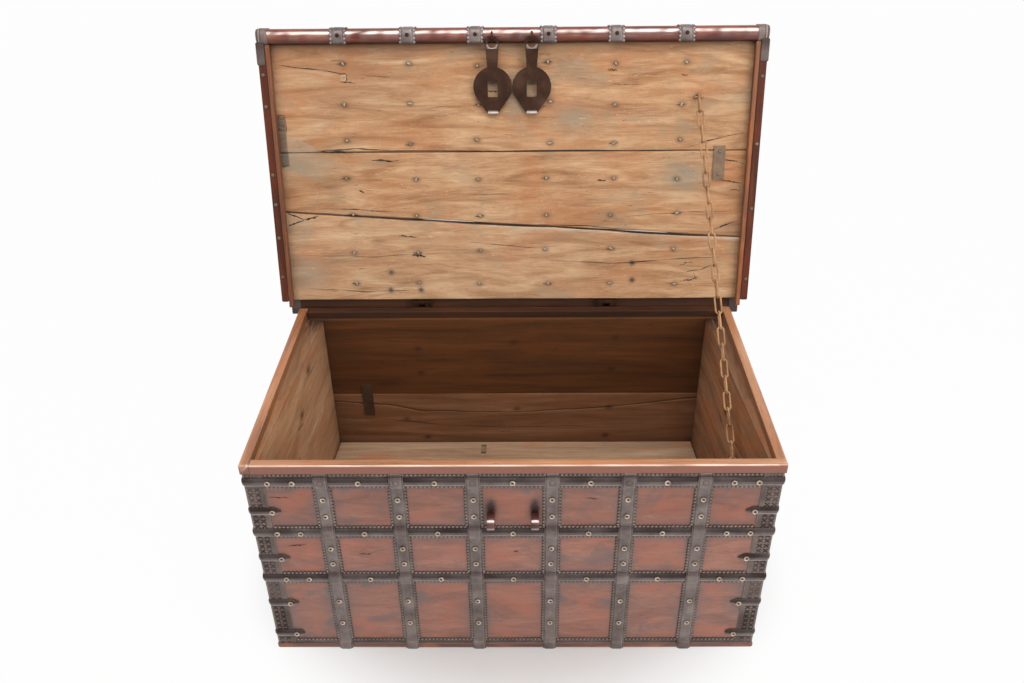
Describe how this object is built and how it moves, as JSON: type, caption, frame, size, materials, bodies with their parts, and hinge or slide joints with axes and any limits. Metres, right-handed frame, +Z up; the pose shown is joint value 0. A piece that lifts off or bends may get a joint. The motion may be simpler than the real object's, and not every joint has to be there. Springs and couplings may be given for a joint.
{
  "type": "coffer chest",
  "caption": "Iron-bound wooden coffer chest with a hinged lid, riveted straps and bands, pierced corner plates, brass studs, swinging hasps and a stay chain.",
  "frame": {"origin": "centre of the base board's underside", "axes": "+X to the chest's right as seen from its front, +Y from front to back, +Z up"},
  "size_m": [1.033, 0.7144, 1.0629],
  "materials": {
    "front_wood": "waxed, worn",
    "rim_wood": "waxed",
    "inside_wood": "bare, aged",
    "lid_wood": "bare, aged",
    "lid_rail_wood": "polished",
    "iron": "dark forged iron",
    "rusty_iron": "rusty iron",
    "brass": "aged brass"
  },
  "bodies": {
    "chest": {"front_board_bottom": "front_wood", "front_board_middle": "front_wood", "front_board_top": "front_wood", "end_left_lower": "front_wood", "end_left_upper": "front_wood", "end_right_lower": "front_wood", "end_right_upper": "front_wood", "rim_front": "rim_wood", "rim_left": "rim_wood", "rim_right": "rim_wood", "rim_back": "rim_wood", "base_board": "rim_wood", "back_board_bottom": "inside_wood", "back_board_middle": "inside_wood", "back_board_top": "inside_wood", "floor_board_front": "inside_wood", "floor_board_back": "inside_wood", "floor_bearers": "inside_wood", "band_low": "iron", "band_middle": "iron", "band_top": "iron", "band_backings": "iron", "strap_backings": "iron", "front_straps": "iron", "side_straps": "iron", "corner_plates_front": "iron", "corner_plates_back": "iron", "corner_clips_front": "iron", "corner_clips_back": "iron", "hasp_staples": "iron", "hinge_leaves": "iron", "hinge_pins": "iron", "chain_anchor": "rusty_iron", "mending_plate_back": "rusty_iron", "brass_studs": "brass"},
    "lid": {"lid_plank_front": "lid_wood", "lid_plank_middle": "lid_wood", "lid_plank_back": "lid_wood", "lid_front_rail": "lid_rail_wood", "lid_rail_left": "lid_rail_wood", "lid_rail_right": "lid_rail_wood", "lid_liners": "lid_wood", "lid_back_rail": "lid_wood", "lid_straps": "iron", "lid_corner_caps": "iron", "lid_hinge_leaves": "iron", "lid_nails": "iron", "lid_mending_plate": "rusty_iron", "hasp_eyes": "iron", "chain_eye": "rusty_iron"},
    "hasp_left": {"hasp_left": "iron"},
    "hasp_right": {"hasp_right": "iron"},
    "chain_run_top": {"chain_run_top": "rusty_iron"},
    "chain_pair_1": {"chain_pair_1": "rusty_iron"},
    "chain_pair_2": {"chain_pair_2": "rusty_iron"},
    "chain_pair_3": {"chain_pair_3": "rusty_iron"},
    "chain_pair_4": {"chain_pair_4": "rusty_iron"},
    "chain_pair_5": {"chain_pair_5": "rusty_iron"},
    "chain_run_end": {"chain_run_end": "rusty_iron"}
  },
  "joints": [
    {"name": "lid_hinge", "type": "hinge", "parent": "chest", "child": "lid", "pos_m": [0, 0.279, 0.489], "axis": [1, 0, 0], "range_deg": [0, 102.5]},
    {"name": "hasp_left_swing", "type": "hinge", "parent": "lid", "child": "hasp_left", "pos_m": [-0.04, 0.372, 1.0471], "axis": [1, 0, 0], "range_deg": [-103, 0]},
    {"name": "hasp_right_swing", "type": "hinge", "parent": "lid", "child": "hasp_right", "pos_m": [0.04, 0.372, 1.0471], "axis": [1, 0, 0], "range_deg": [-103, 0]},
    {"name": "chain_bend_0", "type": "hinge", "parent": "lid", "child": "chain_run_top", "pos_m": [0.381, 0.35362, 0.92724], "axis": [1, 0, 0], "range_deg": [0, 19.1]},
    {"name": "chain_bend_1", "type": "hinge", "parent": "chain_run_top", "child": "chain_pair_1", "pos_m": [0.39717, 0.19141, 0.72985], "axis": [1, 0, 0], "range_deg": [-14.3, 0]},
    {"name": "chain_bend_2", "type": "hinge", "parent": "chain_pair_1", "child": "chain_pair_2", "pos_m": [0.40121, 0.15086, 0.6805], "axis": [1, 0, 0], "range_deg": [-35.7, 0]},
    {"name": "chain_bend_3", "type": "hinge", "parent": "chain_pair_2", "child": "chain_pair_3", "pos_m": [0.40525, 0.11031, 0.63115], "axis": [1, 0, 0], "range_deg": [-46.5, 0]},
    {"name": "chain_bend_4", "type": "hinge", "parent": "chain_pair_3", "child": "chain_pair_4", "pos_m": [0.40929, 0.06975, 0.58181], "axis": [1, 0, 0], "range_deg": [-46.5, 0]},
    {"name": "chain_bend_5", "type": "hinge", "parent": "chain_pair_4", "child": "chain_pair_5", "pos_m": [0.41334, 0.0292, 0.53246], "axis": [1, 0, 0], "range_deg": [-35.7, 0]},
    {"name": "chain_bend_6", "type": "hinge", "parent": "chain_pair_5", "child": "chain_run_end", "pos_m": [0.41738, -0.01135, 0.48311], "axis": [1, 0, 0], "range_deg": [-14.3, 0]}
  ],
  "couplings": [
    {"joint": "hasp_left_swing", "follows": "lid_hinge", "ratio": -1.0048},
    {"joint": "hasp_right_swing", "follows": "lid_hinge", "ratio": -1.0048},
    {"joint": "chain_bend_0", "follows": "lid_hinge", "ratio": 0.18563},
    {"joint": "chain_bend_1", "follows": "lid_hinge", "ratio": -0.13928},
    {"joint": "chain_bend_2", "follows": "lid_hinge", "ratio": -0.3482},
    {"joint": "chain_bend_3", "follows": "lid_hinge", "ratio": -0.45266},
    {"joint": "chain_bend_4", "follows": "lid_hinge", "ratio": -0.45266},
    {"joint": "chain_bend_5", "follows": "lid_hinge", "ratio": -0.3482},
    {"joint": "chain_bend_6", "follows": "lid_hinge", "ratio": -0.13928}
  ]
}
